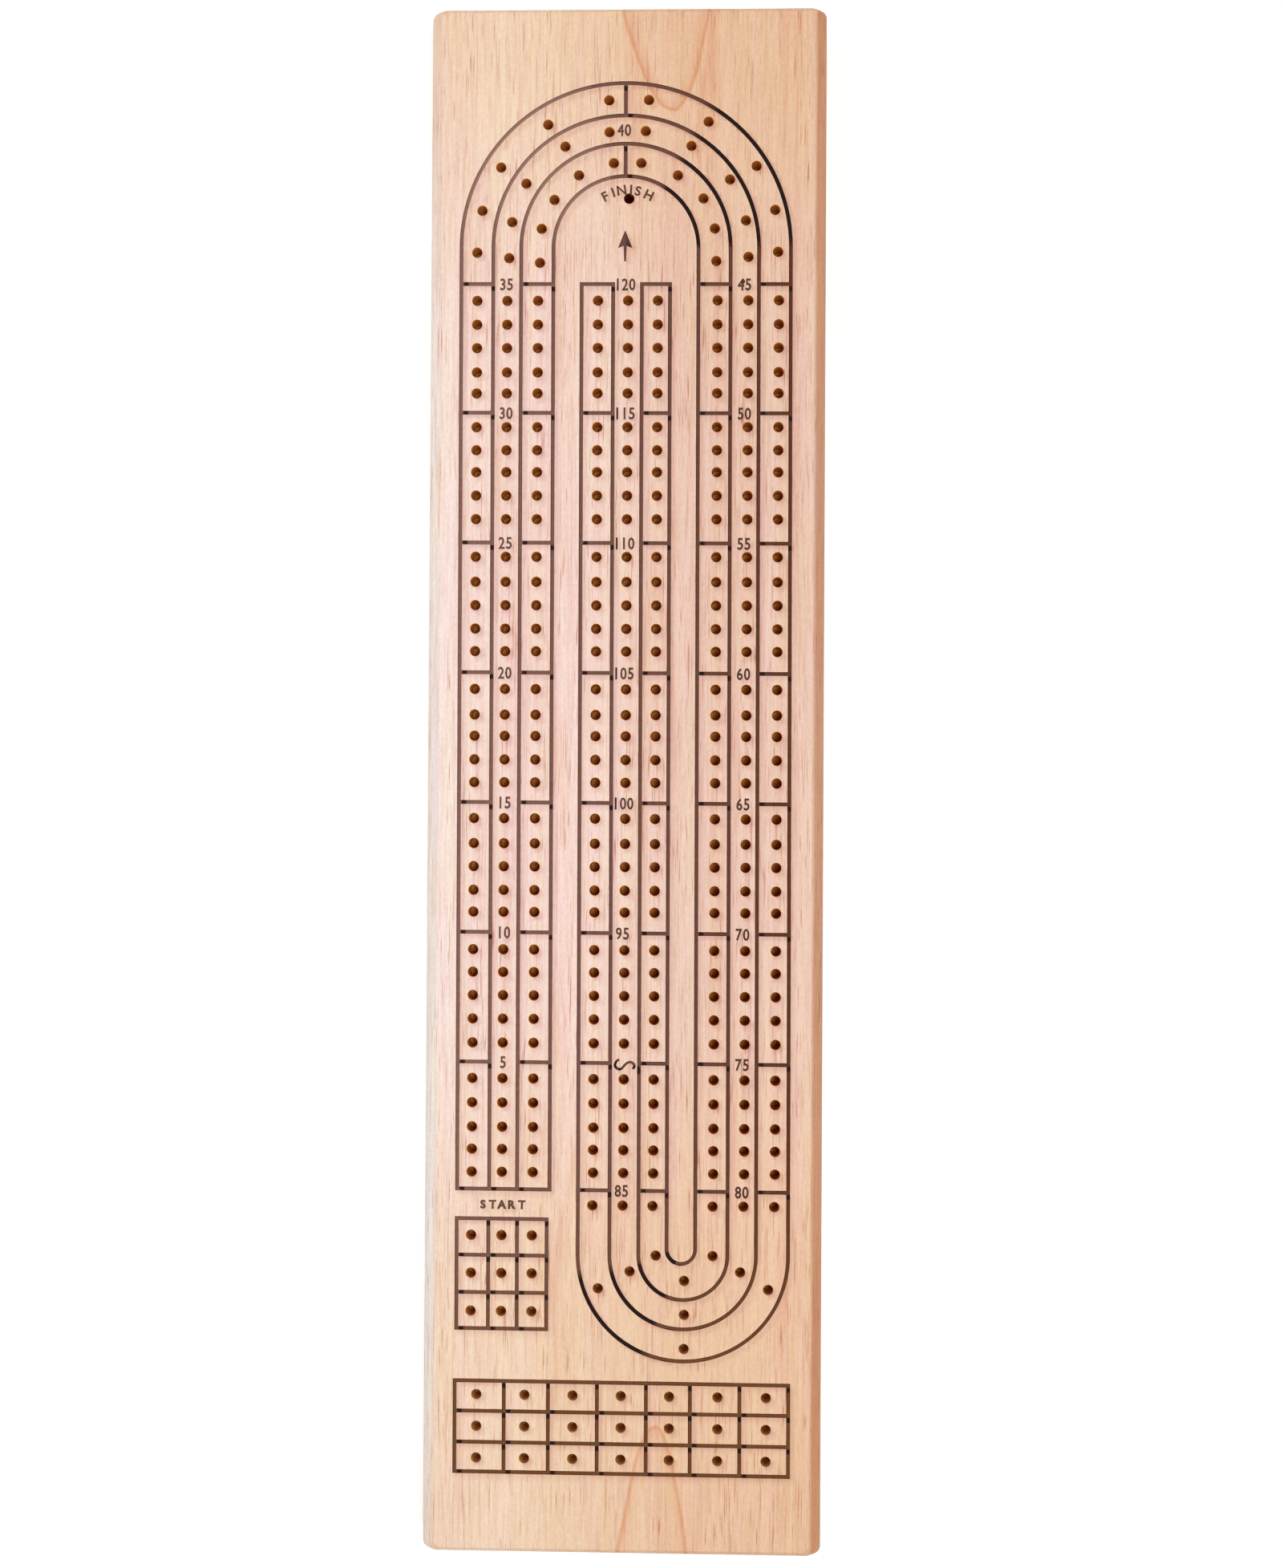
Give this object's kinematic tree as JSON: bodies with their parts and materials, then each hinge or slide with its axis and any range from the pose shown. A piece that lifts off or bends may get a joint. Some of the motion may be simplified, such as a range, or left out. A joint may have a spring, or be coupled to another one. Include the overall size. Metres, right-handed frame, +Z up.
{
  "type": "cribbage board",
  "caption": "Flat solid-wood cribbage board with three pegging lanes on a looped track, and metal pegs stored under a sliding steel cover in its underside.",
  "frame": {"origin": "on the surface that the board stands on, under the middle of the board", "axes": "+Z up out of the drilled playing face; +Y along the board towards the arch that joins the outer runs; +X across it, to the right as it is read"},
  "size_m": [0.0952, 0.3704, 0.0191],
  "materials": {
    "pale_hardwood": "satin lacquer",
    "sheet_steel": "rolled and plated",
    "polished_brass": "turned and polished",
    "nickel_plate": "turned and nickel plated",
    "black_nickel_plate": "turned and black-nickel plated"
  },
  "bodies": {
    "board": {"board": "pale_hardwood"},
    "cover": {"peg_store_cover": "sheet_steel"},
    "peg_brass_1_body": {"peg_brass_1": "polished_brass"},
    "peg_brass_2_body": {"peg_brass_2": "polished_brass"},
    "peg_brass_3_body": {"peg_brass_3": "polished_brass"},
    "peg_nickel_1_body": {"peg_nickel_1": "nickel_plate"},
    "peg_nickel_2_body": {"peg_nickel_2": "nickel_plate"},
    "peg_nickel_3_body": {"peg_nickel_3": "nickel_plate"},
    "peg_black_1_body": {"peg_black_1": "black_nickel_plate"},
    "peg_black_2_body": {"peg_black_2": "black_nickel_plate"},
    "peg_black_3_body": {"peg_black_3": "black_nickel_plate"}
  },
  "joints": [
    {"name": "cover_slide", "type": "slide", "parent": "board", "child": "cover", "axis": [0, -1, 0], "range_m": [0, 0.046]},
    {"name": "peg_brass_1_slide", "type": "slide", "parent": "board", "child": "peg_brass_1_body", "axis": [0, -1, 0], "range_m": [0, 0.0132]},
    {"name": "peg_brass_2_slide", "type": "slide", "parent": "board", "child": "peg_brass_2_body", "axis": [0, -1, 0], "range_m": [0, 0.0132]},
    {"name": "peg_brass_3_slide", "type": "slide", "parent": "board", "child": "peg_brass_3_body", "axis": [0, -1, 0], "range_m": [0, 0.0132]},
    {"name": "peg_nickel_1_slide", "type": "slide", "parent": "board", "child": "peg_nickel_1_body", "axis": [0, -1, 0], "range_m": [0, 0.0132]},
    {"name": "peg_nickel_2_slide", "type": "slide", "parent": "board", "child": "peg_nickel_2_body", "axis": [0, -1, 0], "range_m": [0, 0.0132]},
    {"name": "peg_nickel_3_slide", "type": "slide", "parent": "board", "child": "peg_nickel_3_body", "axis": [0, -1, 0], "range_m": [0, 0.0132]},
    {"name": "peg_black_1_slide", "type": "slide", "parent": "board", "child": "peg_black_1_body", "axis": [0, -1, 0], "range_m": [0, 0.0132]},
    {"name": "peg_black_2_slide", "type": "slide", "parent": "board", "child": "peg_black_2_body", "axis": [0, -1, 0], "range_m": [0, 0.0132]},
    {"name": "peg_black_3_slide", "type": "slide", "parent": "board", "child": "peg_black_3_body", "axis": [0, -1, 0], "range_m": [0, 0.0132]}
  ]
}
